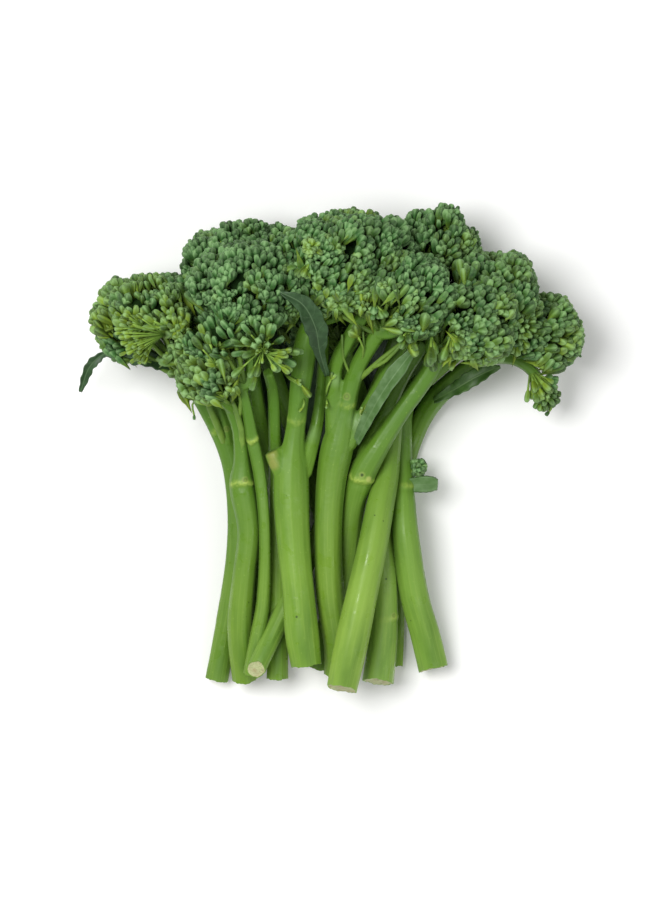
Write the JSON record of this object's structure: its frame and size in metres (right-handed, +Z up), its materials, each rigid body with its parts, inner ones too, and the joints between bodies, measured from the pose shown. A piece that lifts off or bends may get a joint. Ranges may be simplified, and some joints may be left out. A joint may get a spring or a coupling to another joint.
{
  "type": "baby broccoli bunch",
  "caption": "Loose bunch of baby broccoli lying down: long forked green stalks with open heads of dark flower buds and a few leaves.",
  "frame": {"origin": "centre of the bounding box on the surface that the bunch lies on", "axes": "+Y along the stalks from the cut ends to the heads, +X across the bunch, +Z up from the surface"},
  "size_m": [0.1766, 0.1711, 0.0661],
  "materials": {
    "stalk": "smooth waxy plant skin, slightly wet",
    "buds": "matt clustered flower buds with a pale bloom",
    "leaf": "waxy blue-green leaf with raised veins"
  },
  "bodies": {
    "root": {"spear_01_stalk": "stalk", "spear_01_head": "buds", "spear_02_stalk": "stalk", "spear_02_head": "buds", "spear_03_stalk": "stalk", "spear_03_head": "buds", "spear_04_stalk": "stalk", "spear_04_head": "buds", "spear_05_stalk": "stalk", "spear_05_head": "buds", "spear_06_stalk": "stalk", "spear_06_head": "buds", "spear_07_stalk": "stalk", "spear_07_head": "buds", "spear_08_stalk": "stalk", "spear_08_head": "buds", "spear_09_stalk": "stalk", "spear_09_head": "buds", "spear_10_stalk": "stalk", "spear_10_head": "buds", "spear_11_stalk": "stalk", "spear_11_head": "buds", "spear_12_stalk": "stalk", "spear_12_head": "buds", "spear_13_stalk": "stalk", "spear_13_head": "buds", "spear_14_stalk": "stalk", "spear_14_head": "buds", "spear_15_stalk": "stalk", "spear_15_head": "buds", "leaf_middle": "leaf", "leaf_left": "leaf", "leaf_under_left": "leaf", "leaf_right": "leaf", "leaf_fork": "leaf", "leaf_stub": "leaf", "side_floret": "buds", "hanging_floret": "buds"}
  },
  "joints": []
}
